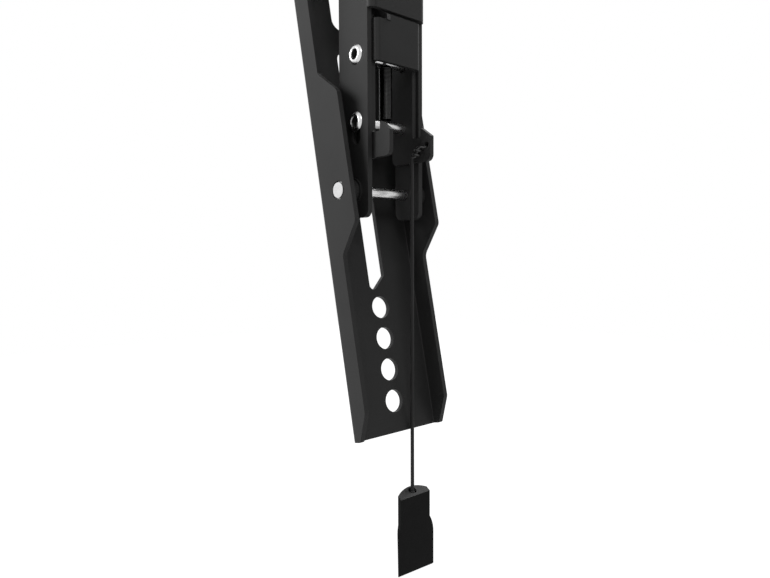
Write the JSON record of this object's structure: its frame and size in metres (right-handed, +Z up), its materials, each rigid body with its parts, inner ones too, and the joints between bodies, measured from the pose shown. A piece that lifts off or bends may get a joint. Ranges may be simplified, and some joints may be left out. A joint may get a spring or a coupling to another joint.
{
  "type": "tilting tv wall bracket",
  "caption": "Hook-on arm of a tilting television wall bracket, with a slotted steel channel, a tilt pivot and stay, and a spring latch released by a pull cord.",
  "frame": {"origin": "middle of the wall bracket's flat web, on the face that leans on the wall rail", "axes": "+Z up, +X across the bracket, +Y from the wall to the television"},
  "size_m": [0.0586, 0.1057, 0.485],
  "materials": {
    "black_paint": "satin black powder coat",
    "latch_paint": "satin black powder coat",
    "plated_steel": "bright zinc plate",
    "spring_wire": "bright drawn wire",
    "black_nylon": "matt black",
    "brass": "turned",
    "knob_plastic": "fine moulded grain",
    "tab_plastic": "moulded, slightly glossy",
    "cord": "braided black cord"
  },
  "bodies": {
    "bracket": {"wall_bracket": "black_paint", "upper_cross_pin": "plated_steel", "latch_spring": "spring_wire", "stay_pin": "plated_steel", "stay_spacer": "plated_steel"},
    "arm": {"tv_arm": "black_paint", "pivot_pin": "plated_steel", "pivot_washer_left": "black_nylon", "pivot_washer_right": "black_nylon", "pivot_spacer_left": "black_nylon", "pivot_spacer_right": "black_nylon", "clamp_bolt": "plated_steel", "friction_washer": "black_nylon", "clamp_washer": "plated_steel"},
    "latch": {"latch_slide": "latch_paint", "lower_cross_pin": "plated_steel", "pull_cord": "cord", "cord_hitch": "cord", "pull_tab": "tab_plastic", "tab_knot": "cord"},
    "stay": {"stay_link": "black_paint"},
    "knob": {"clamp_knob": "knob_plastic", "knob_insert": "brass"}
  },
  "joints": [
    {"name": "arm_tilt", "type": "hinge", "parent": "bracket", "child": "arm", "pos_m": [0, 0.0108, -0.1264], "axis": [-1, 0, 0], "range_deg": [-12.3, 0]},
    {"name": "latch_pull", "type": "slide", "parent": "bracket", "child": "latch", "axis": [0, 0, 1], "range_m": [-0.006, 0], "stiffness_N_per_m": 1000, "springref_m": 0.004, "deforming": ["latch_spring"]},
    {"name": "stay_swing", "type": "hinge", "parent": "bracket", "child": "stay", "pos_m": [0, 0.0133, 0.0696], "axis": [1, 0, 0], "range_deg": [-15.4, 0]},
    {"name": "knob_turn", "type": "hinge", "parent": "arm", "child": "knob", "pos_m": [0.026, 0.03466, -0.01697], "axis": [1, 0, 0], "range_deg": [0, 360]}
  ],
  "couplings": [
    {"joint": "stay_swing", "follows": "arm_tilt", "ratio": 1.245}
  ]
}
